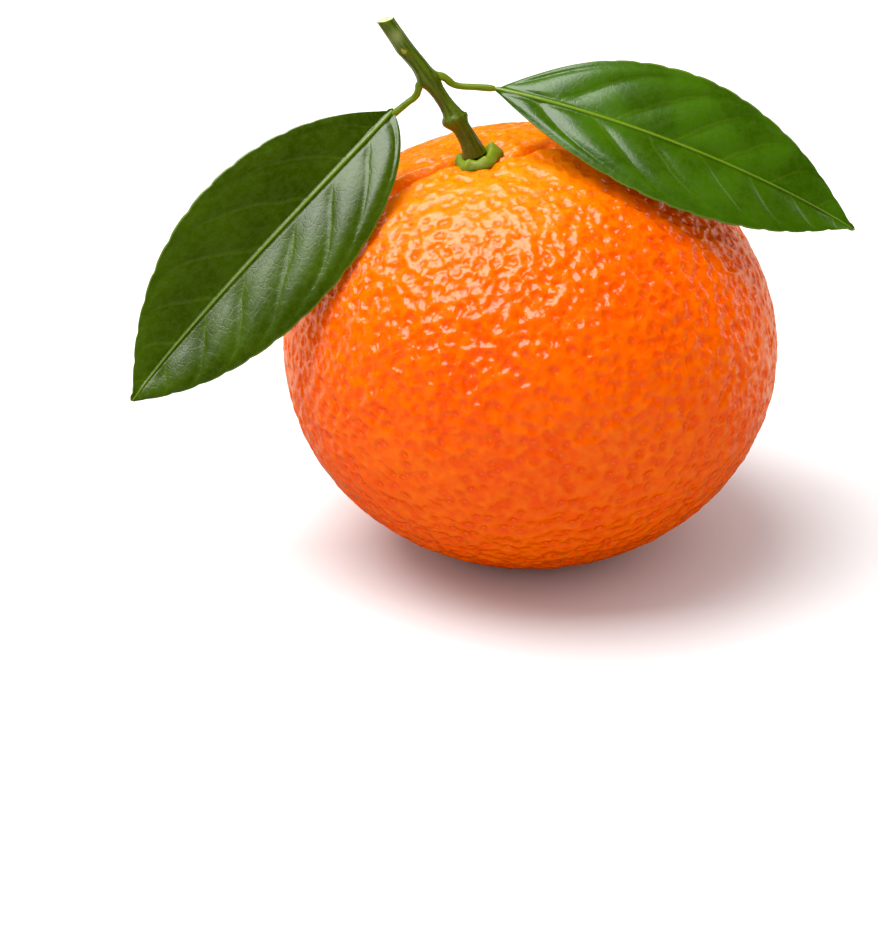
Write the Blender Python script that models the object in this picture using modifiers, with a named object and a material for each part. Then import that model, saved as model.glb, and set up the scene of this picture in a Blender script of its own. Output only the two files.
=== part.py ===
"""A mandarin as picked: the fruit with its calyx, a short cut twig and two leaves on their petioles.

Metres, +Z up, +Y away from the front. The origin is the centre of the small flat spot that the fruit
rests on. Sizes below are millimetres times MM.
"""

import math

import bmesh
import bpy
from mathutils import Matrix, Vector

MM = 0.001
GAP = 0.3 * MM  # left between pieces that touch on the real fruit
ROUNDING = 1e-7  # metres below which a height is the flat spot's own

# The fruit: an oblate body with a dimple and shallow furrows round its calyx.
FRUIT_RADIUS = 35.0 * MM
FRUIT_HALF_HEIGHT = 30.9 * MM
FLAT_RADIUS = 9.5 * MM
CENTRE = Vector((0, 0, FRUIT_HALF_HEIGHT * math.sqrt(1 - (FLAT_RADIUS / FRUIT_RADIUS) ** 2)))
STEM_POLE = Vector((-7.4, -1.8, 30.0)).normalized()  # from the fruit's centre to its calyx
DIMPLE_DEPTH = 1.5 * MM
DIMPLE_ANGLE = 0.21  # radians from the stem pole at which the dimple is 1/e deep
FURROW_COUNT = 9
FURROW_DEPTH = 0.3 * MM
FURROW_ANGLE = 0.32  # radians from the stem pole at which the furrows are deepest
FRUIT_SEGMENTS = 54
FRUIT_RINGS = 28
RING_CROWDING = 1.3  # above 1, the rings crowd towards the stem pole
FLAT_EDGE_ANGLE = math.radians(25)  # sharper edges, such as the rim of the flat spot, are shaded sharp

# The calyx: a five-lobed button in the dimple.
CALYX_RADIUS = 3.35 * MM
CALYX_HALF_THICKNESS = 0.62 * MM
CALYX_LOBES = 5
CALYX_LOBE_DEPTH = 0.12
CALYX_SEGMENTS = 40
CALYX_RINGS = 8

# The twig: it stands square on the calyx, then follows centreline points, each with a radius, to its cut end.
TWIG_BEVEL_STEPS = 4
TWIG_FOOT_RADIUS = 1.55 * MM
TWIG_FOOT_LENGTH = 0.9 * MM
TWIG_FOOT_SHIFT = Vector((-0.5, 0, 0)) * MM  # from the middle of the calyx
TWIG_POINTS = [
    (Vector((-9.40, -1.3, 63.00)) * MM, 1.36 * MM),
    (Vector((-10.80, -0.9, 64.55)) * MM, 1.72 * MM),
    (Vector((-11.55, -0.6, 65.90)) * MM, 1.12 * MM),
    (Vector((-12.55, -0.3, 67.40)) * MM, 1.10 * MM),
    (Vector((-13.75, 0.0, 69.10)) * MM, 1.45 * MM),
    (Vector((-15.87, 0.1, 72.36)) * MM, 1.20 * MM),
    (Vector((-18.00, 0.2, 75.05)) * MM, 1.16 * MM),
    (Vector((-20.24, 0.3, 78.50)) * MM, 1.14 * MM),
]

PETIOLE_BEVEL_STEPS = 2
LEFT_PETIOLE_POINTS = [
    (Vector((-16.10, -0.1, 68.85)) * MM, 0.48 * MM),
    (Vector((-15.90, -0.2, 67.60)) * MM, 0.42 * MM),
    (Vector((-16.96, -0.2, 66.40)) * MM, 0.42 * MM),
    (Vector((-18.45, -0.3, 65.70)) * MM, 0.44 * MM),
]
RIGHT_PETIOLE_POINTS = [
    (Vector((-12.12, -0.1, 70.45)) * MM, 0.50 * MM),
    (Vector((-11.30, 0.0, 69.25)) * MM, 0.46 * MM),
    (Vector((-9.90, 0.1, 68.80)) * MM, 0.38 * MM),
    (Vector((-7.63, 0.3, 68.55)) * MM, 0.38 * MM),
    (Vector((-5.85, 0.4, 68.45)) * MM, 0.42 * MM),
]

# The leaves: each blade hangs on the cubic curve of its midrib, folded upwards along it. Each side has its
# greatest half-width, and the powers by which it tapers to the base and to the tip.
LEAF_THICKNESS = 0.45 * MM
LEAF_END_HALF_WIDTH = 0.35 * MM
LEAF_STEPS_ALONG = 26
LEAF_STEPS_ACROSS = 10
LEFT_LEAF = {
    "midrib": [Vector(p) * MM for p in (
        (-19.15, -0.3, 65.4), (-24.8, -7.5, 61.7), (-47.8, -14.0, 39.3), (-54.9, -20.5, 30.7))],
    "facing": Vector((-0.05, -0.85, 0.52)),
    "sides": ((11.9 * MM, 0.93, 0.96), (11.65 * MM, 1.29, 1.28)),
    "fold": math.radians(20),
}
RIGHT_LEAF = {
    "midrib": [Vector(p) * MM for p in (
        (-5.3, 0.4, 68.5), (15.3, -7.5, 66.8), (33.7, -4.5, 56.5), (44.9, -2.0, 48.4))],
    "facing": Vector((-0.05, -0.53, 0.85)),
    "sides": ((11.85 * MM, 0.95, 1.14), (10.25 * MM, 1.01, 1.17)),
    "fold": math.radians(6),
}


def clear_scene():
    for ob in list(bpy.data.objects):
        bpy.data.objects.remove(ob)


def material(name, colour, roughness):
    mat = bpy.data.materials.new(name)
    mat.use_nodes = True
    shader = mat.node_tree.nodes["Principled BSDF"]
    shader.inputs["Base Color"].default_value = (*colour, 1)
    shader.inputs["Roughness"].default_value = roughness
    shader.inputs["Metallic"].default_value = 0
    return mat


def adopt(ob, name, mat, collection):
    """Name an object, give it its material and keep it in one collection."""
    ob.name = name
    ob.data.name = name
    ob.data.materials.clear()
    ob.data.materials.append(mat)
    for holder in list(ob.users_collection):
        holder.objects.unlink(ob)
    collection.objects.link(ob)
    return ob


def pole_frame():
    """A turn that takes +Z to the stem pole."""
    return STEM_POLE.to_track_quat("Z", "Y").to_matrix()


def body_radius(direction):
    """Distance from the fruit's centre to the plain oblate body along a unit direction."""
    across = (direction.x ** 2 + direction.y ** 2) / FRUIT_RADIUS ** 2
    return 1 / math.sqrt(across + direction.z ** 2 / FRUIT_HALF_HEIGHT ** 2)


def dimple(angle, turn):
    """How far the rind lies below the plain body, at an angle from the stem pole and a turn about it."""
    bowl = DIMPLE_DEPTH * math.exp(-(angle / DIMPLE_ANGLE) ** 2)
    reach = angle / FURROW_ANGLE
    furrow = FURROW_DEPTH * reach * math.exp(1 - reach) * (0.5 - 0.5 * math.cos(FURROW_COUNT * turn))
    return bowl + furrow * max(0.0, 1 - angle)


def make_fruit(mat, collection):
    bpy.ops.mesh.primitive_uv_sphere_add(segments=FRUIT_SEGMENTS, ring_count=FRUIT_RINGS, radius=1)
    ob = adopt(bpy.context.object, "fruit", mat, collection)
    turn_to_pole = pole_frame()
    bm = bmesh.new()
    bm.from_mesh(ob.data)
    for v in bm.verts:
        ring = math.acos(max(-1.0, min(1.0, v.co.z)))
        turn = math.atan2(v.co.y, v.co.x)
        angle = math.pi * (ring / math.pi) ** RING_CROWDING
        local = Vector((math.sin(angle) * math.cos(turn), math.sin(angle) * math.sin(turn), math.cos(angle)))
        direction = turn_to_pole @ local
        v.co = CENTRE + direction * (body_radius(direction) - dimple(angle, turn))
    everything = bm.verts[:] + bm.edges[:] + bm.faces[:]
    bmesh.ops.bisect_plane(bm, geom=everything, plane_co=(0, 0, 0), plane_no=(0, 0, -1), clear_outer=True)
    rim = [e for e in bm.edges if e.is_boundary]
    bmesh.ops.edgeloop_fill(bm, edges=rim)
    for v in bm.verts:
        if abs(v.co.z) < ROUNDING:
            v.co.z = 0
    bmesh.ops.recalc_face_normals(bm, faces=bm.faces)
    bm.to_mesh(ob.data)
    bm.free()
    ob.data.shade_smooth()
    ob.data.set_sharp_from_angle(angle=FLAT_EDGE_ANGLE)
    return ob


def seat_height():
    """Distance from the fruit's centre to the bottom of the dimple along the stem pole."""
    return body_radius(STEM_POLE) - DIMPLE_DEPTH


def twig_points():
    """The twig's centreline from its foot, a gap above the calyx, with the radius at each point."""
    foot = CENTRE + STEM_POLE * (seat_height() + 2 * (GAP + CALYX_HALF_THICKNESS)) + TWIG_FOOT_SHIFT
    root = [(foot, TWIG_FOOT_RADIUS), (foot + STEM_POLE * TWIG_FOOT_LENGTH, TWIG_FOOT_RADIUS)]
    return root + TWIG_POINTS


def make_calyx(mat, collection):
    bpy.ops.mesh.primitive_uv_sphere_add(segments=CALYX_SEGMENTS, ring_count=CALYX_RINGS, radius=1)
    ob = adopt(bpy.context.object, "calyx", mat, collection)
    for v in ob.data.vertices:
        turn = math.atan2(v.co.y, v.co.x)
        spread = math.hypot(v.co.x, v.co.y)
        lobe = 1 + CALYX_LOBE_DEPTH * spread * math.cos(CALYX_LOBES * turn)
        v.co.x *= CALYX_RADIUS * lobe
        v.co.y *= CALYX_RADIUS * lobe
        v.co.z *= CALYX_HALF_THICKNESS
    centre = CENTRE + STEM_POLE * (seat_height() + GAP + CALYX_HALF_THICKNESS)
    ob.matrix_world = Matrix.Translation(centre) @ pole_frame().to_4x4()
    ob.data.shade_smooth()
    return ob


def make_tube(name, points, bevel_steps, mat, collection):
    """A round stalk through its points, each with a radius, closed at both ends."""
    curve = bpy.data.curves.new(name, "CURVE")
    curve.dimensions = "3D"
    curve.bevel_depth = 1
    curve.bevel_resolution = bevel_steps
    curve.use_fill_caps = True
    curve.resolution_u = 4
    spline = curve.splines.new("BEZIER")
    spline.bezier_points.add(len(points) - 1)
    for knot, (place, radius) in zip(spline.bezier_points, points):
        knot.co = place
        knot.radius = radius
        knot.handle_left_type = "AUTO"
        knot.handle_right_type = "AUTO"
    ob = bpy.data.objects.new(name, curve)
    bpy.context.scene.collection.objects.link(ob)
    return adopt(ob, name, mat, collection)


def cubic(points, t):
    a, b, c, d = points
    s = 1 - t
    return a * s ** 3 + b * 3 * s * s * t + c * 3 * s * t * t + d * t ** 3


def cubic_slope(points, t):
    a, b, c, d = points
    s = 1 - t
    return (b - a) * 3 * s * s + (c - b) * 6 * s * t + (d - c) * 3 * t * t


def leaf_point(leaf, t, side):
    """A point of the blade: t runs from base to tip, side from -1 to 1 across it."""
    widest_half, base_power, tip_power = leaf["sides"][side > 0]
    widest = base_power / (base_power + tip_power)
    profile = (t / widest) ** base_power * ((1 - t) / (1 - widest)) ** tip_power
    half_width = max(LEAF_END_HALF_WIDTH, widest_half * profile)
    along = cubic_slope(leaf["midrib"], t).normalized()
    up = (leaf["facing"] - along * leaf["facing"].dot(along)).normalized()
    across = along.cross(up)
    out = side * half_width * math.cos(leaf["fold"])
    rise = abs(side) * half_width * math.sin(leaf["fold"])
    return cubic(leaf["midrib"], t) + across * out + up * rise


def make_leaf(name, leaf, mat, collection):
    bpy.ops.mesh.primitive_grid_add(
        x_subdivisions=LEAF_STEPS_ALONG, y_subdivisions=LEAF_STEPS_ACROSS, size=2)
    ob = adopt(bpy.context.object, name, mat, collection)
    for v in ob.data.vertices:
        t = (v.co.x + 1) / 2
        v.co = leaf_point(leaf, min(1.0, max(0.0, t)), v.co.y)
    thicken = ob.modifiers.new("blade", "SOLIDIFY")
    thicken.thickness = LEAF_THICKNESS
    thicken.offset = 0
    ob.data.shade_smooth()
    return ob


def main():
    clear_scene()
    parts = bpy.data.collections.new("mandarin")
    bpy.context.scene.collection.children.link(parts)
    rind = material("rind", (0.93, 0.28, 0.01), 0.38)
    button = material("calyx_green", (0.10, 0.22, 0.03), 0.55)
    bark = material("twig_bark", (0.13, 0.21, 0.04), 0.5)
    stalk = material("petiole_green", (0.22, 0.36, 0.06), 0.45)
    blade = material("leaf_green", (0.04, 0.16, 0.02), 0.32)
    make_fruit(rind, parts)
    make_calyx(button, parts)
    make_tube("twig", twig_points(), TWIG_BEVEL_STEPS, bark, parts)
    make_tube("left_petiole", LEFT_PETIOLE_POINTS, PETIOLE_BEVEL_STEPS, stalk, parts)
    make_tube("right_petiole", RIGHT_PETIOLE_POINTS, PETIOLE_BEVEL_STEPS, stalk, parts)
    make_leaf("left_leaf", LEFT_LEAF, blade, parts)
    make_leaf("right_leaf", RIGHT_LEAF, blade, parts)


main()
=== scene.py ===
"""The looks of a picked mandarin: pebbled rind, lobed calyx, cut twig, petioles and two glossy leaves.

Metres, +Z up, +Y away from the front. Every piece takes its place from its CAD node's box. Lengths are
written as millimetres times MM, and attributes that the materials read are in millimetres.
"""

import math

import bpy
import numpy as np
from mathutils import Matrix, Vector


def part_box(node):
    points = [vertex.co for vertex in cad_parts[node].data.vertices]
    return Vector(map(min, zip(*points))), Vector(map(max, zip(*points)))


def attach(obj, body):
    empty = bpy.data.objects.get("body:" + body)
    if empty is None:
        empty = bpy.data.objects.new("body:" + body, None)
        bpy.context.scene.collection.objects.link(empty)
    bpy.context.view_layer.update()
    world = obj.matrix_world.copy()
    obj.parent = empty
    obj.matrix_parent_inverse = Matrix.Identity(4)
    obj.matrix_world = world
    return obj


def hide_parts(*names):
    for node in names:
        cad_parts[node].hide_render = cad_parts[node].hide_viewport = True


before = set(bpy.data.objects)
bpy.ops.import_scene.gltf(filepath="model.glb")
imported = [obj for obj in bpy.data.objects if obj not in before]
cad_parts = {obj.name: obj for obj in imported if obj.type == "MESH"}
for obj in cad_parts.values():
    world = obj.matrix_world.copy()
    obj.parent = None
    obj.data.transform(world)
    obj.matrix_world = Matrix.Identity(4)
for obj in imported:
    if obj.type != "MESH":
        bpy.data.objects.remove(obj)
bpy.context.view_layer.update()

MM = 0.001


# ---------------------------------------------------------------- numbers

def unit(v):
    return v / np.linalg.norm(v, axis=-1, keepdims=True)


def dot(a, b):
    return (a * b).sum(axis=-1)


def ramp(x, start, end):
    """0 up to start, 1 from end on, and smooth between. Start may be the larger."""
    part = np.clip((x - start) / (end - start), 0, 1)
    return part * part * (3 - 2 * part)


def bell(x, width):
    return np.exp(-(x / width) ** 2)


def noise(points, cell, seed):
    """Smooth noise from -1 to 1 in space, with features about one cell across."""
    table = np.random.default_rng(seed).uniform(-1, 1, 4096)
    grid = points / cell
    low = np.floor(grid).astype(np.int64)
    part = grid - low
    part = part * part * (3 - 2 * part)
    total = 0
    for corner in np.ndindex(2, 2, 2):
        index = low + corner
        key = (index[..., 0] * 73856093) ^ (index[..., 1] * 19349663) ^ (index[..., 2] * 83492791)
        total = total + np.where(corner, part, 1 - part).prod(axis=-1) * table[key % 4096]
    return total


def spot(node, fractions):
    """A point of a CAD node's box, or several, by fractions of its sides."""
    low, high = (np.array(corner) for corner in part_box(node))
    return low + np.array(fractions) * (high - low)


# ---------------------------------------------------------------- meshes

def make_piece(name, points, faces, node, fields, materials):
    """One visible piece that stands for a CAD node, with its point attributes and materials."""
    mesh = bpy.data.meshes.new(name)
    mesh.from_pydata(points.tolist(), [], faces)
    for key, values in fields.items():
        kind = "FLOAT_VECTOR" if values.ndim == 2 else "FLOAT"
        field = mesh.attributes.new(key, kind, "POINT")
        field.data.foreach_set("vector" if values.ndim == 2 else "value", values.astype(np.float32).ravel())
    for mat in materials:
        mesh.materials.append(mat)
    mesh.shade_smooth()
    ob = bpy.data.objects.new(name, mesh)
    bpy.context.scene.collection.objects.link(ob)
    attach(ob, "root")
    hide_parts(node)
    return ob


def grid_faces(rows, columns, start=0, flip=False, closed=False):
    """Quads of a grid of points stored row by row. A closed grid joins its last column to its first."""
    quads = []
    for i in range(rows - 1):
        for j in range(columns if closed else columns - 1):
            k = (j + 1) % columns
            quad = (i * columns + j, i * columns + k, (i + 1) * columns + k, (i + 1) * columns + j)
            quads.append(tuple(start + n for n in (quad[::-1] if flip else quad)))
    return quads


# ---------------------------------------------------------------- materials

def link(tree, value, socket):
    if isinstance(value, bpy.types.NodeSocket):
        tree.links.new(value, socket)
    else:
        socket.default_value = value


def maths(tree, operation, a, b=0.0):
    node = tree.nodes.new("ShaderNodeMath")
    node.operation = operation
    link(tree, a, node.inputs[0])
    link(tree, b, node.inputs[1])
    return node.outputs[0]


def times(tree, a, b):
    return maths(tree, "MULTIPLY", a, b)


def plus(tree, a, b):
    return maths(tree, "ADD", a, b)


def minus(tree, a, b):
    return maths(tree, "SUBTRACT", a, b)


def remap(tree, value, low, high, to_low=0.0, to_high=1.0, kind="SMOOTHSTEP"):
    node = tree.nodes.new("ShaderNodeMapRange")
    node.interpolation_type = kind
    link(tree, value, node.inputs["Value"])
    node.inputs["From Min"].default_value = low
    node.inputs["From Max"].default_value = high
    node.inputs["To Min"].default_value = to_low
    node.inputs["To Max"].default_value = to_high
    return node.outputs["Result"]


def noise_nodes(tree, vector, cell, detail=1.0, distortion=0.0):
    node = tree.nodes.new("ShaderNodeTexNoise")
    link(tree, vector, node.inputs["Vector"])
    node.inputs["Scale"].default_value = 1 / cell
    node.inputs["Detail"].default_value = detail
    node.inputs["Distortion"].default_value = distortion
    return node


def cells(tree, vector, cell, feature="F1"):
    """Distance to the nearest of scattered seeds, or to the nearest border between them."""
    node = tree.nodes.new("ShaderNodeTexVoronoi")
    node.feature = feature
    link(tree, vector, node.inputs["Vector"])
    node.inputs["Scale"].default_value = 1 / cell
    node.inputs["Randomness"].default_value = 0.9
    return node.outputs["Distance"]


def stretch(tree, vector, scale):
    node = tree.nodes.new("ShaderNodeVectorMath")
    node.operation = "MULTIPLY"
    link(tree, vector, node.inputs[0])
    node.inputs[1].default_value = scale
    return node.outputs[0]


def warp(tree, vector, cell, amount):
    """The vector moved about by noise, to bend straight patterns."""
    push = stretch(tree, noise_nodes(tree, vector, cell).outputs["Color"], (amount,) * 3)
    node = tree.nodes.new("ShaderNodeVectorMath")
    tree.links.new(vector, node.inputs[0])
    tree.links.new(push, node.inputs[1])
    return node.outputs[0]


def field(tree, name, output="Vector"):
    node = tree.nodes.new("ShaderNodeAttribute")
    node.attribute_name = name
    return node.outputs[output]


def parts_of(tree, vector):
    node = tree.nodes.new("ShaderNodeSeparateXYZ")
    tree.links.new(vector, node.inputs[0])
    return node.outputs


def blend_colours(tree, factor, a, b):
    node = tree.nodes.new("ShaderNodeMix")
    node.data_type = "RGBA"
    link(tree, factor, node.inputs["Factor"])
    link(tree, a if isinstance(a, bpy.types.NodeSocket) else (*a, 1), node.inputs["A"])
    link(tree, b if isinstance(b, bpy.types.NodeSocket) else (*b, 1), node.inputs["B"])
    return node.outputs["Result"]


def new_material(name, **constants):
    mat = bpy.data.materials.new(name)
    mat.use_nodes = True
    tree = mat.node_tree
    shader = tree.nodes["Principled BSDF"]
    for key, value in constants.items():
        shader.inputs[key.replace("_", " ")].default_value = value
    return mat, tree, shader


def add_bump(tree, shader, height, strength):
    """Bump from a height in millimetres."""
    node = tree.nodes.new("ShaderNodeBump")
    node.inputs["Strength"].default_value = strength
    node.inputs["Distance"].default_value = MM
    tree.links.new(height, node.inputs["Height"])
    tree.links.new(node.outputs["Normal"], shader.inputs["Normal"])


# ---------------------------------------------------------------- fruit

FRUIT_LOW, FRUIT_HIGH = (np.array(corner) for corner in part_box("fruit"))
FRUIT_RADIUS = (FRUIT_HIGH[0] - FRUIT_LOW[0]) / 2
FRUIT_HALF_HEIGHT = 0.884 * FRUIT_RADIUS
FRUIT_CENTRE = np.array([0, 0, 0.9625 * FRUIT_HALF_HEIGHT])
FRUIT_LEAN = math.radians(2)
SPHERE_STEPS = 127
POLE = unit(np.array([-7.4, -1.8, 30.0]))  # from the fruit's centre to its calyx
POLE_RIGHT = unit(np.cross([0, 1, 0], POLE))
POLE_BACK = np.cross(POLE, POLE_RIGHT)
DIMPLE_DEPTH = 1.5 * MM
DIMPLE_ANGLE = 0.21
CALYX_ANGLE = 0.115
# Furrows run out from the calyx: the turn where each starts, how far it turns on for each radian out, its
# depth and half-width in millimetres, and how many radians out it reaches.
FURROWS = [
    (3.42, -0.20, 2.60, 0.85, 0.70), (2.85, -0.25, 0.60, 0.60, 0.46), (3.90, 0.10, 0.55, 0.60, 0.42),
    (-0.45, 2.90, 2.00, 0.75, 0.50), (0.00, 0.30, 1.10, 0.50, 0.58), (0.75, 0.90, 0.60, 0.70, 0.46),
    (1.45, -0.30, 0.40, 0.60, 0.42), (2.15, 0.40, 0.45, 0.70, 0.50), (4.45, 0.30, 0.25, 0.60, 0.34),
    (5.15, -0.40, 0.35, 0.65, 0.38),
]
FURROW_START = 0.8 * CALYX_ANGLE
FURROW_FULL = 1.4  # millimetres of depth at which a furrow has its full painted shade
UNEVENNESS = 0.16 * MM
COLLAR_ANGLE = 0.165
COLLAR_WIDTH = 0.038
COLLAR_HEIGHT = 0.42 * MM
PUCKER_HEIGHT = 0.10 * MM
WRINKLE_DEPTH = 0.34 * MM
# From the shoulder to the calyx the rind grows calmer: lower pebbles and a duller skin.
CALM_START = 0.80
CALM_FULL = 0.30
CALM_LOWERS = 0.3
CALM_ROUGHENS = 0.08
STYLAR_SPOT = np.array([3.2, 0.8]) * MM
STYLAR_DEPTH = 0.7 * MM
STYLAR_WIDTH = 2.2 * MM
CONTACT_SOFTNESS = 0.22 * MM
# The fine relief in millimetres: how far apart its features lie, and how high or deep they are.
GLAND_SPACING = 1.6
BOWL_DEPTH = 0.18
GLAND_DEPTH = 0.02
PORE_SPACING = 0.75
PORE_DEPTH = 0.02
PEBBLE_SPACING = 2.7
PEBBLE_HEIGHT = 0.54
GRAIN_SPACING = 1.2
GRAIN_HEIGHT = 0.16


def cube_sphere(steps):
    """Unit directions and quads of a cube blown up to a sphere, with evenly spread angles."""
    line = np.tan(np.linspace(-1, 1, steps + 1) * math.pi / 4)
    u, v = np.meshgrid(line, line, indexing="ij")
    sheets, quads = [], []
    for axis in range(3):
        for side in (-1, 1):
            sheet = np.zeros((steps + 1, steps + 1, 3))
            sheet[..., axis] = side
            sheet[..., (axis + 1) % 3] = u
            sheet[..., (axis + 2) % 3] = v
            quads += grid_faces(steps + 1, steps + 1, len(sheets) * (steps + 1) ** 2, flip=side > 0)
            sheets.append(sheet.reshape(-1, 3))
    points = np.concatenate(sheets)
    _, first, same = np.unique(np.round(points * 1e6).astype(np.int64), axis=0, return_index=True,
                               return_inverse=True)
    return unit(points[first]), same.ravel()[np.array(quads)].tolist()


def furrow_depth(angle, turn):
    """How deep the furrows around the calyx are, in millimetres."""
    total = np.zeros_like(angle)
    for place, bend, depth, half_width, reach in FURROWS:
        off = (turn - place - bend * (angle - FURROW_START) + math.pi) % (2 * math.pi) - math.pi
        width = half_width * (0.55 + 2.2 * angle)
        across = off * np.sin(angle) * FRUIT_RADIUS / MM
        along = ramp(angle, 0.5 * CALYX_ANGLE, 1.2 * CALYX_ANGLE) * ramp(angle, reach, 0.4 * reach)
        total = total + depth * (bell(across, width) - 0.35 * bell(across, 2.6 * width)) * along
    return total


def rind_form(direction):
    """The rind without its fine relief: a point for each unit direction from the fruit's centre."""
    x = direction[:, 0] * math.cos(FRUIT_LEAN) - direction[:, 2] * math.sin(FRUIT_LEAN)
    z = direction[:, 0] * math.sin(FRUIT_LEAN) + direction[:, 2] * math.cos(FRUIT_LEAN)
    level = (x ** 2 + direction[:, 1] ** 2) / FRUIT_RADIUS ** 2
    radius = 1 / np.sqrt(level + z ** 2 / FRUIT_HALF_HEIGHT ** 2)
    radius = radius + UNEVENNESS * noise(direction, 0.8, 11)
    angle = np.arccos(np.clip(dot(direction, POLE), -1, 1))
    turn = np.arctan2(dot(direction, POLE_BACK), dot(direction, POLE_RIGHT))
    sunk = DIMPLE_DEPTH * bell(angle, DIMPLE_ANGLE) + furrow_depth(angle, turn) * MM
    collar = bell(angle - COLLAR_ANGLE - 0.015 * noise(direction, 0.12, 19), COLLAR_WIDTH)
    knobbly = 0.75 + 0.6 * noise(direction, 0.07, 23)
    sunk = sunk - COLLAR_HEIGHT * collar * knobbly
    puckered = ramp(angle, 0.6, 0.15)
    sunk = sunk - PUCKER_HEIGHT * puckered * noise(direction, 0.05, 31)
    around = np.stack([np.cos(turn), np.sin(turn), angle], axis=1)
    radial = noise(around, 0.36, 37) + 0.6 * noise(around, 0.18, 41)
    outside = ramp(angle, 0.9 * CALYX_ANGLE, 1.6 * CALYX_ANGLE)
    sunk = sunk + WRINKLE_DEPTH * radial * ramp(angle, 0.85, 0.3) * outside
    points = FRUIT_CENTRE + direction * (radius - sunk)[:, None]
    # What would lie below the floor is pressed flat on it, with a soft rim.
    points[:, 2] = CONTACT_SOFTNESS * np.log1p(np.exp(points[:, 2] / CONTACT_SOFTNESS))
    from_spot = np.linalg.norm(points[:, :2] - STYLAR_SPOT, axis=1)
    at_bottom = points[:, 2] < 5 * MM
    points[:, 2] += STYLAR_DEPTH * bell(from_spot, STYLAR_WIDTH) * at_bottom
    return points


def rind_relief(tree, rest):
    """The rind's fine height in millimetres, and from 0 to 1 how deep in an oil gland and in its bowl."""
    bent = warp(tree, rest, GLAND_SPACING, 1.0)
    from_gland = cells(tree, bent, GLAND_SPACING)
    bowl = remap(tree, from_gland, 0.75, 0.05)
    gland = remap(tree, from_gland, 0.36, 0.08)
    pore = remap(tree, cells(tree, bent, PORE_SPACING), 0.42, 0.12)
    pebble = noise_nodes(tree, rest, PEBBLE_SPACING, detail=1.5).outputs[0]
    grain = noise_nodes(tree, rest, GRAIN_SPACING).outputs[0]
    height = times(tree, minus(tree, pebble, 0.5), PEBBLE_HEIGHT)
    height = plus(tree, height, times(tree, minus(tree, grain, 0.5), GRAIN_HEIGHT))
    height = minus(tree, height, times(tree, bowl, BOWL_DEPTH))
    height = minus(tree, height, times(tree, gland, GLAND_DEPTH))
    height = minus(tree, height, times(tree, pore, PORE_DEPTH))
    return height, gland, bowl


def rind_material():
    mat, tree, shader = new_material(
        "mandarin_rind", Specular_IOR_Level=0.5, Subsurface_Weight=0.3,
        Subsurface_Radius=(1.0, 0.20, 0.02), Subsurface_Scale=5.0 * MM)
    rest = field(tree, "rest")
    height, gland, bowl = rind_relief(tree, rest)
    near = field(tree, "near_calyx", "Fac")
    broad = remap(tree, noise_nodes(tree, rest, 14, detail=2.0).outputs[0], 0.35, 0.65)
    flecks = remap(tree, noise_nodes(tree, rest, 1.5, detail=2.0).outputs[0], 0.42, 0.66)
    base = blend_colours(tree, broad, (0.87, 0.080, 0.0), (0.89, 0.100, 0.0))
    # Yellower towards the calyx: partly the rind's own tint there, partly painted light on the top of the
    # fruit.
    base = blend_colours(tree, near, base, (0.97, 0.25, 0.001))
    base = blend_colours(tree, times(tree, flecks, 0.22), base, (1.0, 0.26, 0.001))
    # Painted light and shade on the fine relief: the rises between the bowls are painted yellower and the
    # bowls redder.
    base = blend_colours(tree, remap(tree, bowl, 0.45, 0.0, 0.0, 0.14), base, (0.98, 0.22, 0.001))
    base = blend_colours(tree, times(tree, bowl, 0.24), base, (0.83, 0.056, 0.0))
    # Darker dots at the oil glands: partly the glands' own tint, partly painted shade in their pits.
    base = blend_colours(tree, times(tree, gland, 0.14), base, (0.80, 0.047, 0.0))
    # Painted shade: the furrows round the calyx are coloured a darker red, the deeper ones more.
    furrow_shade = times(tree, field(tree, "furrow_shade", "Fac"), 0.75)
    base = blend_colours(tree, furrow_shade, base, (0.82, 0.050, 0.0))
    tree.links.new(base, shader.inputs["Base Color"])
    calm = field(tree, "calm", "Fac")
    rough = remap(tree, gland, 0, 1, 0.19, 0.30, "LINEAR")
    rough = plus(tree, rough, times(tree, calm, CALM_ROUGHENS))
    height = times(tree, height, minus(tree, 1.0, times(tree, calm, CALM_LOWERS)))
    tree.links.new(rough, shader.inputs["Roughness"])
    add_bump(tree, shader, height, 1.0)
    return mat


def relief_modifier(ob):
    """Raises the rind by its fine relief, then keeps the result as the mesh."""
    tree = bpy.data.node_groups.new("rind_relief", "GeometryNodeTree")
    tree.interface.new_socket("Geometry", in_out="INPUT", socket_type="NodeSocketGeometry")
    tree.interface.new_socket("Geometry", in_out="OUTPUT", socket_type="NodeSocketGeometry")
    source = tree.nodes.new("NodeGroupInput")
    result = tree.nodes.new("NodeGroupOutput")
    move = tree.nodes.new("GeometryNodeSetPosition")
    rest = tree.nodes.new("GeometryNodeInputNamedAttribute")
    rest.data_type = "FLOAT_VECTOR"
    rest.inputs["Name"].default_value = "rest"
    free = tree.nodes.new("GeometryNodeInputNamedAttribute")
    free.inputs["Name"].default_value = "free"
    height, _, _ = rind_relief(tree, rest.outputs["Attribute"])
    height = times(tree, times(tree, height, MM), free.outputs["Attribute"])
    offset = tree.nodes.new("ShaderNodeVectorMath")
    offset.operation = "SCALE"
    normal = tree.nodes.new("GeometryNodeInputNormal")
    tree.links.new(normal.outputs["Normal"], offset.inputs[0])
    tree.links.new(height, offset.inputs["Scale"])
    tree.links.new(source.outputs[0], move.inputs["Geometry"])
    tree.links.new(offset.outputs[0], move.inputs["Offset"])
    tree.links.new(move.outputs["Geometry"], result.inputs[0])
    modifier = ob.modifiers.new("relief", "NODES")
    modifier.node_group = tree
    depsgraph = bpy.context.evaluated_depsgraph_get()
    raised = bpy.data.meshes.new_from_object(
        ob.evaluated_get(depsgraph), preserve_all_data_layers=True, depsgraph=depsgraph)
    ob.modifiers.remove(modifier)
    ob.data = raised
    bpy.data.node_groups.remove(tree)


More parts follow.
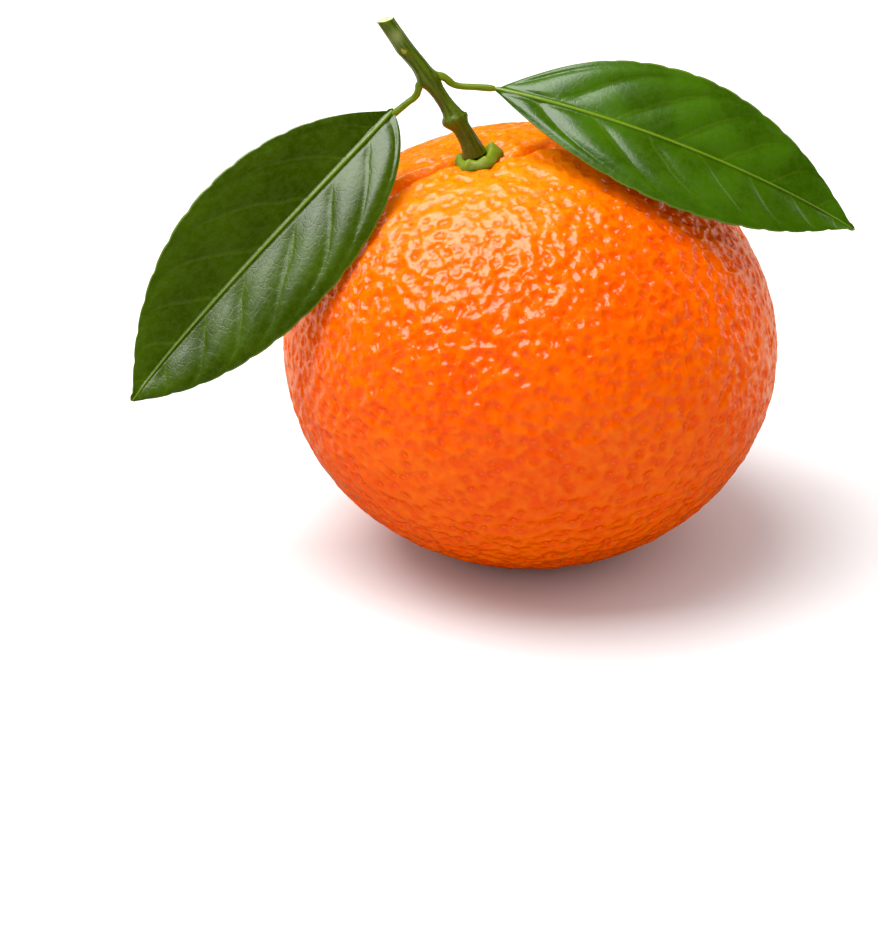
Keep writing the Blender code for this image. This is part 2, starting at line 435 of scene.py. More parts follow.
def make_fruit():
    direction, faces = cube_sphere(SPHERE_STEPS)
    points = rind_form(direction)
    angle = np.arccos(np.clip(dot(direction, POLE), -1, 1))
    turn = np.arctan2(dot(direction, POLE_BACK), dot(direction, POLE_RIGHT))
    calm = ramp(angle, CALM_START, CALM_FULL)
    off_floor = ramp(points[:, 2], 0.3 * MM, 2.5 * MM)
    fields = {
        # How far into a furrow's painted shade each point lies.
        "furrow_shade": np.clip(furrow_depth(angle, turn) / FURROW_FULL, 0, 1),
        "rest": (points - FRUIT_CENTRE) / MM,
        # Yellower towards the calyx: partly the rind's own tint, partly painted light on the top.
        "near_calyx": ramp(angle, 1.35, 0.1) ** 2,
        "calm": calm,
        "free": off_floor * (1 - CALM_LOWERS * calm),
    }
    ob = make_piece("rind", points, faces, "fruit", fields, [rind_material()])
    relief_modifier(ob)


# ---------------------------------------------------------------- stalks

def through(points, steps):
    """A smooth curve through rows of numbers (Catmull-Rom), sampled evenly between each two."""
    points = np.array(points, float)
    padded = np.vstack([2 * points[0] - points[1], points, 2 * points[-1] - points[-2]])
    rows = []
    for k in range(len(points) - 1):
        a, b, c, d = padded[k:k + 4]
        for t in np.arange(steps) / steps:
            rows.append(0.5 * (2 * b + (c - a) * t + (2 * a - 5 * b + 4 * c - d) * t ** 2
                               + (3 * b - a - 3 * c + d) * t ** 3))
    rows.append(points[-1])
    return np.array(rows)


def stalk_rings(centres, radii, around, lumps=(), ridge=0.0, seed=0):
    """Rings of points along a stalk, with raised lumps (place, half-width, height) and long ridges."""
    along = unit(np.gradient(centres, axis=0))
    side = unit(np.cross(along[0], [0, 1, 0]))
    turns = np.linspace(0, 2 * math.pi, around, endpoint=False)
    length = np.concatenate([[0], np.cumsum(np.linalg.norm(np.diff(centres, axis=0), axis=1))])
    rings, fields = [], []
    for centre, way, radius, far in zip(centres, along, radii, length):
        side = unit(side - way * dot(side, way))
        other = np.cross(way, side)
        out = np.cos(turns)[:, None] * side + np.sin(turns)[:, None] * other
        probe = np.stack([np.cos(turns), np.sin(turns), np.full(around, far / (9 * MM))], axis=1)
        grain = noise(probe, 0.42, seed) + 0.5 * noise(probe * [1, 1, 4], 0.23, seed + 1)
        ring = centre + out * (radius * (1 + ridge * grain))[:, None]
        for place, half_width, height in lumps:
            away = np.linalg.norm(ring - place, axis=1)
            ring = ring + out * (height * bell(away, half_width))[:, None]
        rings.append(ring)
        fields.append(np.stack([np.cos(turns), np.sin(turns), np.full(around, far / MM)], axis=1))
    return np.array(rings), np.array(fields), along


def close_stalk(rings, fields, along, cap_rows):
    """Points, faces and fields of a stalk closed at both ends. Cap rows are (scale, lift), inwards."""
    middle_start, middle_end = rings[0].mean(axis=0), rings[-1].mean(axis=0)
    cap = [middle_end + (rings[-1] - middle_end) * scale + along[-1] * lift for scale, lift in cap_rows]
    rows, around = len(rings) + len(cap), rings.shape[1]
    tip = middle_end + along[-1] * cap_rows[-1][1]
    points = np.concatenate([rings.reshape(-1, 3), *cap, [middle_start], [tip]])
    faces = grid_faces(rows, around, closed=True)
    first, last = rows * around, rows * around + 1
    for j in range(around):
        k = (j + 1) % around
        faces.append((first, k, j))
        faces.append(((rows - 1) * around + j, (rows - 1) * around + k, last))
    cap_fields = [fields[-1]] * len(cap)
    stalk = np.concatenate([fields.reshape(-1, 3), *cap_fields, [fields[0][0]], [fields[-1][0]]])
    cut = np.zeros(len(points))
    cut[len(rings) * around:first] = 1
    cut[last] = 1
    return points, faces, {"stalk": stalk, "cut": cut}


TWIG_STEPS = 9
TWIG_AROUND = 56
# The twig from its foot in the calyx to its cut end: fractions of its node's box, then its radius in
# millimetres.
TWIG = [
    (0.905, 0.333, -0.020, 1.78), (0.885, 0.349, 0.030, 1.52), (0.845, 0.395, 0.095, 1.30),
    (0.785, 0.457, 0.172, 1.24), (0.744, 0.495, 0.212, 1.42), (0.715, 0.520, 0.245, 1.58),
    (0.691, 0.551, 0.285, 1.28), (0.634, 0.602, 0.351, 1.04), (0.559, 0.657, 0.435, 1.05),
    (0.499, 0.707, 0.501, 1.30), (0.454, 0.713, 0.546, 1.32), (0.379, 0.728, 0.636, 1.15),
    (0.258, 0.748, 0.751, 1.15), (0.159, 0.758, 0.863, 1.14), (0.068, 0.769, 0.969, 1.15),
]
# Lumps on it: fractions of the box, then half-width and height in millimetres.
TWIG_LUMPS = [
    (0.810, 0.505, 0.262, 0.62, 0.42), (0.639, 0.455, 0.205, 0.75, 0.30),
    (0.724, 0.101, 0.240, 0.80, 0.22), (0.404, 0.606, 0.501, 0.70, 0.35),
    (0.559, 0.657, 0.561, 0.80, 0.30), (0.198, 0.556, 0.736, 0.80, 0.20),
    (0.253, 0.556, 0.891, 0.75, 0.28), (0.404, 0.303, 0.476, 0.30, 0.22),
]
CUT_FACING = unit(np.array([-0.22, 0.08, 0.95]))
CUT_BLEND = 1.8 * MM
# The rows from the cut's rim to its middle: size of the ring, and how far it stands out.
CUT_ROWS = [(0.93, 0.05 * MM), (0.6, -0.03 * MM), (0.25, 0)]
SCAR_WIDTH = 1.0 * MM


def stalk_material(name, green, shade, tint):
    """Fresh bark or petiole skin: long streaks, small freckles, and pale wood where it is cut."""
    mat, tree, shader = new_material(name, Specular_IOR_Level=0.5)
    stalk = field(tree, "stalk")
    long_noise = noise_nodes(tree, stretch(tree, stalk, (1, 1, 0.07)), 0.34, 2.0).outputs[0]
    short_noise = noise_nodes(tree, stretch(tree, stalk, (1, 1, 0.5)), 0.9, 2.0).outputs[0]
    streaks = remap(tree, long_noise, 0.36, 0.64)
    patches = remap(tree, short_noise, 0.42, 0.68)
    base = blend_colours(tree, streaks, green, shade)
    base = blend_colours(tree, times(tree, patches, 0.5), base, tint)
    freckle = remap(tree, cells(tree, stretch(tree, stalk, (1, 1, 0.8)), 0.36), 0.30, 0.12)
    base = blend_colours(tree, times(tree, freckle, 0.25), base, (0.24, 0.26, 0.03))
    return mat, tree, shader, base, streaks, freckle


def twig_material():
    mat, tree, shader, base, streaks, freckle = stalk_material(
        "mandarin_twig", (0.090, 0.140, 0.003), (0.046, 0.084, 0.001), (0.115, 0.125, 0.006))
    red = field(tree, "red", "Fac")
    scar = field(tree, "scar", "Fac")
    pale = field(tree, "pale", "Fac")
    cut = field(tree, "cut", "Fac")
    speckle = noise_nodes(tree, field(tree, "stalk"), 0.3, 3.0).outputs[0]
    broken = remap(tree, plus(tree, scar, times(tree, speckle, 0.5)), 0.62, 0.82)
    base = blend_colours(tree, times(tree, red, 0.62), base, (0.075, 0.030, 0.002))
    base = blend_colours(tree, times(tree, pale, 0.7), base, (0.30, 0.36, 0.12))
    base = blend_colours(tree, times(tree, broken, 0.9), base, (0.47, 0.36, 0.03))
    wood = blend_colours(tree, remap(tree, speckle, 0.4, 0.6), (0.62, 0.66, 0.38), (0.42, 0.48, 0.20))
    base = blend_colours(tree, remap(tree, cut, 0.35, 0.75), base, wood)
    tree.links.new(base, shader.inputs["Base Color"])
    tree.links.new(remap(tree, cut, 0, 1, 0.32, 0.7, "LINEAR"), shader.inputs["Roughness"])
    height = plus(tree, times(tree, streaks, 0.05), times(tree, freckle, 0.04))
    height = plus(tree, height, times(tree, times(tree, speckle, cut), 0.15))
    add_bump(tree, shader, height, 0.6)
    return mat


def make_twig():
    rows = through(TWIG, TWIG_STEPS)
    centres = spot("twig", rows[:, :3])
    lumps = [(spot("twig", row[:3]), row[3] * MM, row[4] * MM) for row in TWIG_LUMPS]
    rings, fields, along = stalk_rings(centres, rows[:, 3] * MM, TWIG_AROUND, lumps, 0.05, 5)
    # The last stretch is sheared so that the end lies in the plane of the cut.
    to_end = np.linalg.norm(centres - centres[-1], axis=1)
    share = 1 - ramp(to_end, 0, CUT_BLEND)
    shear = dot(rings - centres[:, None], CUT_FACING) / dot(along, CUT_FACING)[:, None]
    rings = rings - along[:, None] * (shear * share[:, None])[..., None]
    points, faces, attributes = close_stalk(rings, fields, along, CUT_ROWS)
    low, high = (np.array(corner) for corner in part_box("twig"))
    part = (points - low) / (high - low)
    scar_at, scar_tail = spot("twig", (0.245, 0.42, 0.755)), spot("twig", (0.175, 0.45, 0.86))
    # The bark is red-brown round the foot, and on the left just above the knob.
    red_foot = ramp(part[:, 2], 0.27, 0.17) * 0.75
    red_left = bell(part[:, 2] - 0.33, 0.10) * ramp(part[:, 0] - 0.64, 0.02, -0.06)
    attributes["red"] = np.clip(red_foot + red_left, 0, 1)
    attributes["scar"] = 0.6 * bell(np.linalg.norm(points - scar_at, axis=1), SCAR_WIDTH)
    attributes["pale"] = bell(np.linalg.norm(points - scar_tail, axis=1), SCAR_WIDTH)
    make_piece("cut_twig", points, faces, "twig", attributes, [twig_material()])


def petiole_material():
    mat, tree, shader, base, streaks, freckle = stalk_material(
        "mandarin_petiole", (0.140, 0.215, 0.004), (0.085, 0.150, 0.002), (0.190, 0.240, 0.008))
    tree.links.new(base, shader.inputs["Base Color"])
    shader.inputs["Roughness"].default_value = 0.28
    height = plus(tree, times(tree, streaks, 0.04), times(tree, freckle, 0.03))
    add_bump(tree, shader, height, 0.6)
    return mat


# Each petiole from inside the twig to inside its blade: fractions of its node's box, then its radius in
# millimetres.
PETIOLES = {
    "left_petiole": [
        (1.36, 0.60, 1.12, 0.70), (1.02, 0.55, 1.08, 0.60), (0.94, 0.53, 0.86, 0.50),
        (0.86, 0.53, 0.66, 0.50), (0.72, 0.53, 0.50, 0.47), (0.50, 0.50, 0.36, 0.46),
        (0.12, 0.42, 0.08, 0.50), (-0.20, 0.34, -0.14, 0.52), (-0.42, 0.26, -0.30, 0.40)],
    "right_petiole": [
        (-0.22, 0.45, 0.92, 0.66), (0.00, 0.45, 0.86, 0.56), (0.10, 0.45, 0.74, 0.50),
        (0.17, 0.45, 0.58, 0.52), (0.26, 0.48, 0.40, 0.45), (0.42, 0.52, 0.29, 0.43),
        (0.70, 0.58, 0.24, 0.44), (0.98, 0.66, 0.17, 0.47), (1.10, 0.70, 0.13, 0.36)],
}
PETIOLE_STEPS = 7
PETIOLE_AROUND = 28
PETIOLE_END_ROWS = [(0.6, 0.1 * MM), (0.25, 0.15 * MM)]


def make_petioles():
    mat = petiole_material()
    for seed, (node, table) in enumerate(PETIOLES.items()):
        rows = through(table, PETIOLE_STEPS)
        rings, fields, along = stalk_rings(
            spot(node, rows[:, :3]), rows[:, 3] * MM, PETIOLE_AROUND, ridge=0.05, seed=40 + seed)
        points, faces, attributes = close_stalk(rings, fields, along, PETIOLE_END_ROWS)
        make_piece(node + "_skin", points, faces, node, attributes, [mat])


# ---------------------------------------------------------------- calyx

CALYX_RADIUS = 3.6 * MM
CALYX_ROWS = 30
CALYX_AROUND = 110
CALYX_FRONT = 1.5 * math.pi
CALYX_TOP_SHARE = 0.75
CALYX_RIM_HEIGHT = 0.42 * MM
HUMP_HEIGHT = 0.40 * MM
HUMP_WIDTH = 1.9 * MM
RING_HEIGHT = 0.65 * MM
RING_RADIUS = 2.35 * MM
RING_WIDTH = 0.85 * MM
CALYX_LUMP_HEIGHT = 0.26 * MM
CALYX_GRIT_HEIGHT = 0.12 * MM
CALYX_LIFT = 0.10 * MM
CALYX_LEFT = 0.30 * MM
# Its lobes: turn about the pole from the right side, then distance out, half-width and height in
# millimetres.
CALYX_LOBES = [
    (0.25, 2.60, 1.15, 1.05), (1.50, 2.40, 1.00, 0.60), (2.95, 2.75, 0.80, 0.85),
    (4.10, 2.60, 0.70, 0.55), (5.25, 2.65, 0.65, 0.50),
]


def calyx_material():
    mat, tree, shader = new_material("mandarin_calyx", Specular_IOR_Level=0.45)
    rest = field(tree, "rest")
    raised = field(tree, "raised", "Fac")
    mottle = remap(tree, noise_nodes(tree, rest, 0.9, 3.0).outputs[0], 0.38, 0.62)
    # Painted light and shade: the raised lobes are painted lighter, the low parts and the underside darker.
    base = blend_colours(tree, raised, (0.050, 0.080, 0.001), (0.200, 0.280, 0.004))
    base = blend_colours(tree, times(tree, mottle, 0.4), base, (0.20, 0.26, 0.006))
    tree.links.new(base, shader.inputs["Base Color"])
    shader.inputs["Roughness"].default_value = 0.42
    grit = noise_nodes(tree, rest, 0.5, 3.0).outputs[0]
    add_bump(tree, shader, times(tree, grit, 0.12), 0.7)
    return mat


def make_calyx():
    """A lumpy green button: rows of points run from the middle of its top over the rim to its underside."""
    turns = np.linspace(0, 2 * math.pi, CALYX_AROUND, endpoint=False)
    circle = np.stack([np.cos(turns), np.sin(turns), np.zeros(CALYX_AROUND)], axis=1)
    outline = 1 + 0.10 * np.cos(5 * (turns - CALYX_LOBES[0][0])) + 0.10 * noise(circle, 0.7, 71)
    outline = outline * (1 - 0.17 * bell(turns - CALYX_FRONT, 0.9))
    rows, raised = [], []
    for part in np.linspace(0, 1, CALYX_ROWS):
        # The first three quarters of the rows cross the top, and the rest turn under.
        on_top = part < CALYX_TOP_SHARE
        if on_top:
            sweep = part / CALYX_TOP_SHARE * math.pi / 2
        else:
            sweep = math.pi / 2 * (1 + (part - CALYX_TOP_SHARE) / (1 - CALYX_TOP_SHARE))
        out = CALYX_RADIUS * math.sin(sweep) ** 0.8 * outline
        flat = circle * out[:, None]
        rim = math.copysign(abs(math.cos(sweep)) ** 0.6, math.cos(sweep))
        height = np.full(CALYX_AROUND, CALYX_RIM_HEIGHT * rim)
        if on_top:
            edge = math.cos(sweep) ** 0.45
            height = height + HUMP_HEIGHT * bell(out, HUMP_WIDTH)
            height = height + RING_HEIGHT * bell(out - RING_RADIUS, RING_WIDTH) * edge
            for turn, distance, half_width, lift in CALYX_LOBES:
                place = distance * MM * np.array([math.cos(turn), math.sin(turn), 0])
                away = np.linalg.norm(flat - place, axis=1)
                height = height + lift * MM * bell(away, half_width * MM) * edge
            height = height + CALYX_LUMP_HEIGHT * noise(flat / MM, 0.9, 73) * edge
            height = height + CALYX_GRIT_HEIGHT * noise(flat / MM, 0.5, 74) * edge
        rows.append(flat + height[:, None] * np.array([0, 0, 1]))
        # How high a point stands, which sets the calyx's painted light and shade.
        raised.append(np.clip(height / (1.2 * MM), 0, 1))
    local = np.concatenate(rows)
    turned = local[:, :1] * POLE_RIGHT + local[:, 1:2] * POLE_BACK + local[:, 2:] * POLE
    seat = rind_form(POLE[None])[0] + POLE * CALYX_LIFT - POLE_RIGHT * CALYX_LEFT
    points = seat + turned
    faces = grid_faces(CALYX_ROWS, CALYX_AROUND, flip=True, closed=True)
    fields = {"rest": local / MM, "raised": np.concatenate(raised)}
    make_piece("calyx_button", points, faces, "calyx", fields, [calyx_material()])


# ---------------------------------------------------------------- leaves

# Each leaf. midrib: a Bezier curve's four points, as fractions of the node's box. facing: where its upper
# side looks. Pairs of values are for the halves s < 0 and s > 0, except folds, which are for base and tip.
# sides: widest half-width in millimetres, then the powers that round the base and the tip. folds: how
# steeply both halves rise from the midrib. curls: how far the margin turns down, as a share of the
# half-width. quilts: how high the blade puffs up between its veins, in millimetres, and quilt_fade how much
# less towards the tip. wave: the margin's wave in millimetres. greens: the upper side's two colours.
LEAVES = {
    "left_leaf": {
        "midrib": [
            (0.966, 0.990, 0.978), (0.815, 0.657, 0.874), (0.199, 0.355, 0.247), (0.009, 0.054, 0.007)],
        "facing": np.array([-0.05, -0.85, 0.52]),
        "sides": [(11.9, 0.93, 0.96), (11.65, 1.29, 1.28)],
        "folds": [math.radians(23), math.radians(16)], "curls": [0.15, 0.06],
        "quilts": [0.42, 0.16], "quilt_fade": 0.25, "wave": 0.35, "seed": 101,
        "greens": [(0.031, 0.059, 0.0006), (0.043, 0.081, 0.0008)],
    },
    "right_leaf": {
        "midrib": [
            (0.003, 0.780, 0.861), (0.410, 0.345, 0.789), (0.774, 0.510, 0.355), (0.996, 0.648, 0.013)],
        "facing": np.array([-0.05, -0.53, 0.85]),
        "sides": [(11.85, 0.95, 1.14), (10.25, 1.01, 1.17)],
        "folds": [math.radians(5), math.radians(9)], "curls": [0.05, 0.12],
        "quilts": [0.50, 0.50], "quilt_fade": 0.6, "wave": 0.45, "seed": 202,
        "greens": [(0.029, 0.080, 0.0008), (0.044, 0.120, 0.0012)],
    },
}
LEAF_ROWS = 181
LEAF_COLUMNS = 81
LEAF_LENGTH = 55 * MM
LEAF_THICKNESS = 0.34 * MM
LEAF_END_HALF_WIDTH = 0.55 * MM
LEAF_END_ROUNDING = 0.012
VEIN_COUNT = 7.4
TOOTH_COUNT = 15
TOOTH_DEPTH = 0.18 * MM
RIB_RISE = 0.22 * MM
RIB_GROOVE = 0.07 * MM
RIB_SOFTNESS = 0.9 * MM


def cubic(points, t):
    a, b, c, d = points
    s, t = 1 - t[..., None], t[..., None]
    return a * s ** 3 + b * 3 * s * s * t + c * 3 * s * t * t + d * t ** 3


def cubic_slope(points, t):
    a, b, c, d = points
    s, t = 1 - t[..., None], t[..., None]
    return (b - a) * 3 * s * s + (c - b) * 6 * s * t + (d - c) * 3 * t * t


def leaf_surface(leaf, node, t, s):
    """Points of the blade's upper side, with the millimetres from the midrib and the vein phase."""
    midrib = spot(node, leaf["midrib"])
    end = LEAF_END_HALF_WIDTH * np.sqrt(np.clip(np.minimum(t, 1 - t) / LEAF_END_ROUNDING, 0, 1))
    half = np.zeros_like(t)
    for side, (widest_half, base_power, tip_power) in zip((s < 0, s >= 0), leaf["sides"]):
        widest = base_power / (base_power + tip_power)
        profile = (t / widest) ** base_power * ((1 - t) / (1 - widest)) ** tip_power
        half = np.where(side, np.maximum(end, widest_half * MM * profile), half)
    edge = np.abs(s)
    lane = np.stack([t * 6, np.sign(s) * 3.0, np.full_like(t, 0.5)], axis=-1)
    uneven = noise(lane, 1.0, leaf["seed"])
    tooth = (t + 0.012 * uneven) * TOOTH_COUNT
    notch = bell((tooth % 1) - 0.5, 0.16)
    half = half - TOOTH_DEPTH * notch * ramp(t, 0.12, 0.3) * ramp(t, 1.0, 0.94) * edge ** 8
    out = s * half
    along = unit(cubic_slope(midrib, t))
    up = unit(leaf["facing"] - along * dot(along, leaf["facing"])[..., None])
    across = np.cross(along, up)
    # Secondary veins leave the midrib at about 45 degrees and bend round to follow the margin.
    lag = np.abs(out) / LEAF_LENGTH / np.sqrt(1 - (edge / 1.06) ** 4)
    wander = noise(lane * [0.8, 1, 1], 0.7, leaf["seed"] + 1)
    phase = VEIN_COUNT * (t - lag) + 0.22 * np.sign(s) + 0.25 * wander
    between = np.abs(np.sin(math.pi * phase)) ** 0.75
    inner = ramp(edge, 0.03, 0.28) * ramp(edge, 1.0, 0.72) * ramp(t, 0.0, 0.10) * ramp(t, 1.0, 0.86)
    inner = inner * (1 - leaf["quilt_fade"] * ramp(t, 0.35, 0.75))
    fold = leaf["folds"][0] + (leaf["folds"][1] - leaf["folds"][0]) * t
    curl = np.where(s < 0, leaf["curls"][0], leaf["curls"][1])
    quilt = np.where(s < 0, leaf["quilts"][0], leaf["quilts"][1])
    rise = np.sin(fold) * (np.sqrt(out ** 2 + RIB_SOFTNESS ** 2) - RIB_SOFTNESS)
    rise = rise - curl * half * edge ** 4
    rise = rise + quilt * MM * (between - 0.6) * inner
    spread = np.stack([t * 5, np.sign(s) * 5 + edge, np.full_like(t, 0.3)], axis=-1)
    rise = rise + leaf["wave"] * MM * edge ** 2 * noise(spread, 1.0, leaf["seed"] + 2)
    # The midrib stands up between two shallow grooves, and narrows towards the tip.
    rib = (0.31 - 0.20 * t) * MM
    ridge = RIB_RISE * bell(out, rib) - RIB_GROOVE * bell(np.abs(out) - 2.1 * rib, rib)
    rise = rise + ridge * ramp(t, 1.0, 0.8)
    points = cubic(midrib, t) + across * (out * np.cos(fold))[..., None] + up * rise[..., None]
    return points, out / MM, phase


def leaf_material(name, dark, light):
    mat, tree, shader = new_material(name, Specular_IOR_Level=0.6)
    t, s, out = parts_of(tree, field(tree, "blade"))
    phase = field(tree, "phase", "Fac")
    under = field(tree, "under", "Fac")
    flat = field(tree, "blade_flat")
    from_rib = maths(tree, "ABSOLUTE", out)
    edge = maths(tree, "ABSOLUTE", s)
    # Distance from the nearest secondary vein, in phases, wavering a little.
    waver = times(tree, noise_nodes(tree, flat, 3.0, 2.0).outputs[0], 0.16)
    wrapped = maths(tree, "PINGPONG", plus(tree, phase, waver), 0.5)
    vein = times(tree, remap(tree, wrapped, 0.07, 0.0), remap(tree, edge, 0.96, 0.55))
    rib_width = remap(tree, t, 0, 1, 0.27, 0.07, "LINEAR")
    rib = remap(tree, maths(tree, "DIVIDE", from_rib, rib_width), 1.15, 0.75)
    net = remap(tree, cells(tree, warp(tree, flat, 1.2, 0.5), 1.3, "DISTANCE_TO_EDGE"), 0.07, 0.0)
    broad = remap(tree, noise_nodes(tree, flat, 9.0, 2.0).outputs[0], 0.36, 0.64)
    fine = remap(tree, noise_nodes(tree, flat, 1.1, 2.0).outputs[0], 0.35, 0.65)
    green = blend_colours(tree, broad, dark, light)
    green = blend_colours(tree, times(tree, fine, 0.25), green, (0.060, 0.120, 0.002))
    green = blend_colours(tree, times(tree, net, 0.12), green, (0.09, 0.16, 0.004))
    green = blend_colours(tree, times(tree, vein, 0.18), green, (0.12, 0.20, 0.006))
    margin = remap(tree, edge, 0.965, 0.995)
    green = blend_colours(tree, times(tree, margin, 0.6), green, (0.20, 0.28, 0.03))
    green = blend_colours(tree, times(tree, rib, 0.85), green, (0.17, 0.26, 0.010))
    back = blend_colours(tree, broad, (0.125, 0.245, 0.050), (0.150, 0.285, 0.064))
    back = blend_colours(tree, times(tree, net, 0.3), back, (0.085, 0.165, 0.030))
    back = blend_colours(tree, times(tree, vein, 0.5), back, (0.235, 0.335, 0.085))
    back = blend_colours(tree, times(tree, rib, 0.9), back, (0.30, 0.39, 0.10))
    side = remap(tree, under, 0.4, 0.6)
    tree.links.new(blend_colours(tree, side, green, back), shader.inputs["Base Color"])
    rough = remap(tree, side, 0, 1, 0.25, 0.50, "LINEAR")
    rough = plus(tree, rough, times(tree, fine, 0.05))
    tree.links.new(rough, shader.inputs["Roughness"])
    height = times(tree, vein, -0.03)
    height = plus(tree, height, times(tree, net, -0.010))
    grain = noise_nodes(tree, flat, 0.35, 2.0).outputs[0]
    height = plus(tree, height, times(tree, grain, 0.020))
    add_bump(tree, shader, height, 0.8)
    return mat


def on_both_sides(values):
    """Values of the upper side's points, one row a point, repeated for the underside."""
    rows = values.reshape(values.shape[0] * values.shape[1], -1)
    return np.concatenate([rows, rows])


def make_leaves():
    t_line = np.linspace(0, 1, LEAF_ROWS)
    t_line = np.clip(0.6 * t_line + 0.2 * (1 - np.cos(math.pi * t_line)), 1e-4, 1 - 1e-4)
    s_line = np.linspace(-1, 1, LEAF_COLUMNS)
    s_line = np.sign(s_line) * np.abs(s_line) ** 1.2
    t, s = np.meshgrid(t_line, s_line, indexing="ij")
    for node, leaf in LEAVES.items():
        mat = leaf_material(node + "_green", *leaf["greens"])
        top, out, phase = leaf_surface(leaf, node, t, s)
        facing = unit(np.cross(np.gradient(top, axis=1), np.gradient(top, axis=0)))
        thick = LEAF_THICKNESS * (1 - 0.5 * np.abs(s) ** 4) * (1 - 0.4 * ramp(np.abs(t - 0.5), 0.46, 0.5))
        # Underneath, the midrib is a wider keel.
        rib = (0.72 - 0.50 * t) * MM
        keel = (0.62 - 0.45 * t) * MM * bell(out * MM, rib) * ramp(np.abs(t - 0.5), 0.5, 0.4)
        bottom = top - facing * (thick + keel)[..., None]
        count = top.shape[0] * top.shape[1]
        points = np.concatenate([top.reshape(-1, 3), bottom.reshape(-1, 3)])
        faces = grid_faces(LEAF_ROWS, LEAF_COLUMNS) + grid_faces(LEAF_ROWS, LEAF_COLUMNS, count, flip=True)
        border = [(0, j) for j in range(LEAF_COLUMNS - 1)]
        border += [(i, LEAF_COLUMNS - 1) for i in range(LEAF_ROWS - 1)]
        border += [(LEAF_ROWS - 1, j) for j in range(LEAF_COLUMNS - 1, 0, -1)]
        border += [(i, 0) for i in range(LEAF_ROWS - 1, 0, -1)]
        loop = [i * LEAF_COLUMNS + j for i, j in border]
        for a, b in zip(loop, loop[1:] + loop[:1]):
            faces.append((b, a, a + count, b + count))
        fields = {
            "blade": on_both_sides(np.stack([t, s, out], axis=-1)),
            "blade_flat": on_both_sides(np.stack([t * LEAF_LENGTH / MM, out, np.zeros_like(t)], axis=-1)),
            "phase": on_both_sides(phase)[:, 0],
            "under": np.concatenate([np.zeros(count), np.ones(count)]),
        }
        make_piece(node + "_blade", points, faces, node, fields, [mat])


# ---------------------------------------------------------------- stage, light and camera

FLOOR_SIZE = 8
FLOOR_SEEN = (0.79, 0.79, 0.79)
FLOOR_LIGHTING = (0.66, 0.65, 0.64)
FLOOR_MIRRORED_FRONT = (0.09, 0.09, 0.09)
FLOOR_MIRRORED_BEHIND = (0.48, 0.43, 0.34)
ROOM_LIGHT = 0.75
ROOM_SEEN_EXTRA = 0.25
# Area lights: name, width, height, watts, and the direction from the fruit.
AREA_LIGHTS = [
    ("rim_strip", 0.22, 0.55, 0.5, (-0.72, 0.66, 0.20)),
    ("rim_strip", 0.22, 0.55, 0.5, (0.72, 0.66, 0.20)),
    ("softbox", 0.78, 0.78, 12.4, (-0.36, 0.0, 0.93)),
]
LIGHT_DISTANCE = 0.9
CAMERA_ELEVATION = math.radians(26.5)
CAMERA_DISTANCE = 0.62
CAMERA_LENS = 170
CAMERA_SENSOR = 36
AIM_LEFT = 12.8 * MM
AIM_BELOW = 16.9 * MM
BLACK_LEVEL = 0.006


def make_stage():
    """A pale floor that runs far past the view.

    It throws less light back than it shows. Mirrored in the rind it is dim in front of the fruit and
    brighter behind it.
    """
    bpy.ops.mesh.primitive_plane_add(size=FLOOR_SIZE)
    floor = bpy.context.object
    floor.name = "studio_floor"
    mat, tree, shader = new_material("studio_floor", Roughness=0.7, Specular_IOR_Level=0.0)
    path = tree.nodes.new("ShaderNodeLightPath")
    place = parts_of(tree, tree.nodes.new("ShaderNodeNewGeometry").outputs["Position"])
    behind = remap(tree, place[1], -0.01, 0.06)
    mirrored = blend_colours(tree, behind, FLOOR_MIRRORED_FRONT, FLOOR_MIRRORED_BEHIND)
    paper = blend_colours(tree, path.outputs["Is Glossy Ray"], FLOOR_LIGHTING, mirrored)
    paper = blend_colours(tree, path.outputs["Is Camera Ray"], paper, FLOOR_SEEN)
    tree.links.new(paper, shader.inputs["Base Color"])
    floor.data.materials.append(mat)


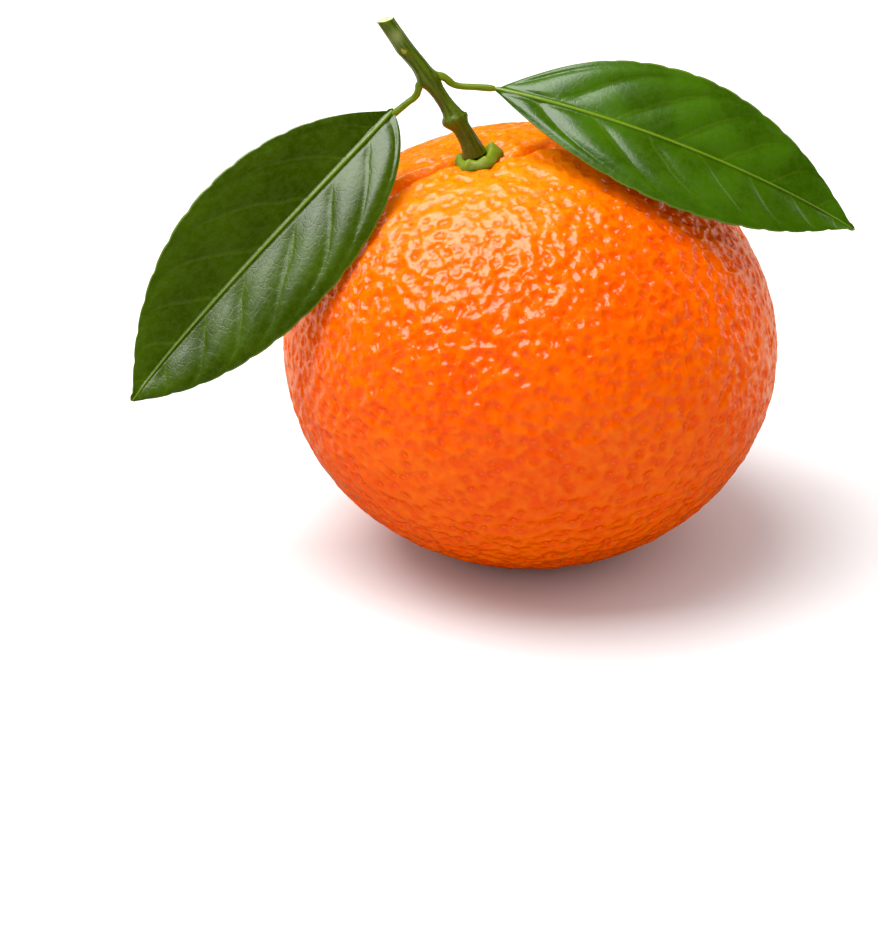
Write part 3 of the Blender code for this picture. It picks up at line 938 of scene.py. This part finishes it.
def make_light():
    """A large softbox overhead and a little to the left, with two weak strips behind the sides."""
    for name, width, height, watts, direction in AREA_LIGHTS:
        data = bpy.data.lights.new(name, "AREA")
        data.shape = "RECTANGLE"
        data.size = width
        data.size_y = height
        data.energy = watts
        lamp = bpy.data.objects.new(name, data)
        away = Vector(direction).normalized()
        lamp.location = Vector(FRUIT_CENTRE) + away * LIGHT_DISTANCE
        lamp.rotation_euler = away.to_track_quat("Z", "Y").to_euler()
        bpy.context.scene.collection.objects.link(lamp)


def make_room():
    """An even white room that lights the object and is seen behind it, but isn't mirrored in it."""
    world = bpy.data.worlds.new("studio")
    bpy.context.scene.world = world
    world.use_nodes = True
    world.cycles_visibility.glossy = False
    tree = world.node_tree
    ground = tree.nodes["Background"]
    seen = tree.nodes.new("ShaderNodeLightPath").outputs["Is Camera Ray"]
    level = plus(tree, times(tree, seen, ROOM_SEEN_EXTRA), ROOM_LIGHT)
    tree.links.new(level, ground.inputs["Strength"])
    ground.inputs["Color"].default_value = (1, 1, 1, 1)


def make_camera():
    """Looks down at the front, and aims to the left of the fruit's centre and below it."""
    back = Vector((0, -math.cos(CAMERA_ELEVATION), math.sin(CAMERA_ELEVATION)))
    above = Vector((0, math.sin(CAMERA_ELEVATION), math.cos(CAMERA_ELEVATION)))
    aim = Vector(FRUIT_CENTRE) - Vector((AIM_LEFT, 0, 0)) - above * AIM_BELOW
    data = bpy.data.cameras.new("camera")
    data.lens = CAMERA_LENS
    data.sensor_width = CAMERA_SENSOR
    camera = bpy.data.objects.new("camera", data)
    camera.location = aim + back * CAMERA_DISTANCE
    camera.rotation_euler = back.to_track_quat("Z", "Y").to_euler()
    bpy.context.scene.collection.objects.link(camera)
    bpy.context.scene.camera = camera


def set_view():
    """Plain Standard view, with the black level raised a little for stronger colours."""
    view = bpy.context.scene.view_settings
    view.view_transform = "Standard"
    view.use_curve_mapping = True
    view.curve_mapping.black_level = (BLACK_LEVEL,) * 3
    view.curve_mapping.update()


make_fruit()
make_calyx()
make_twig()
make_petioles()
make_leaves()
make_stage()
make_light()
make_room()
make_camera()
set_view()
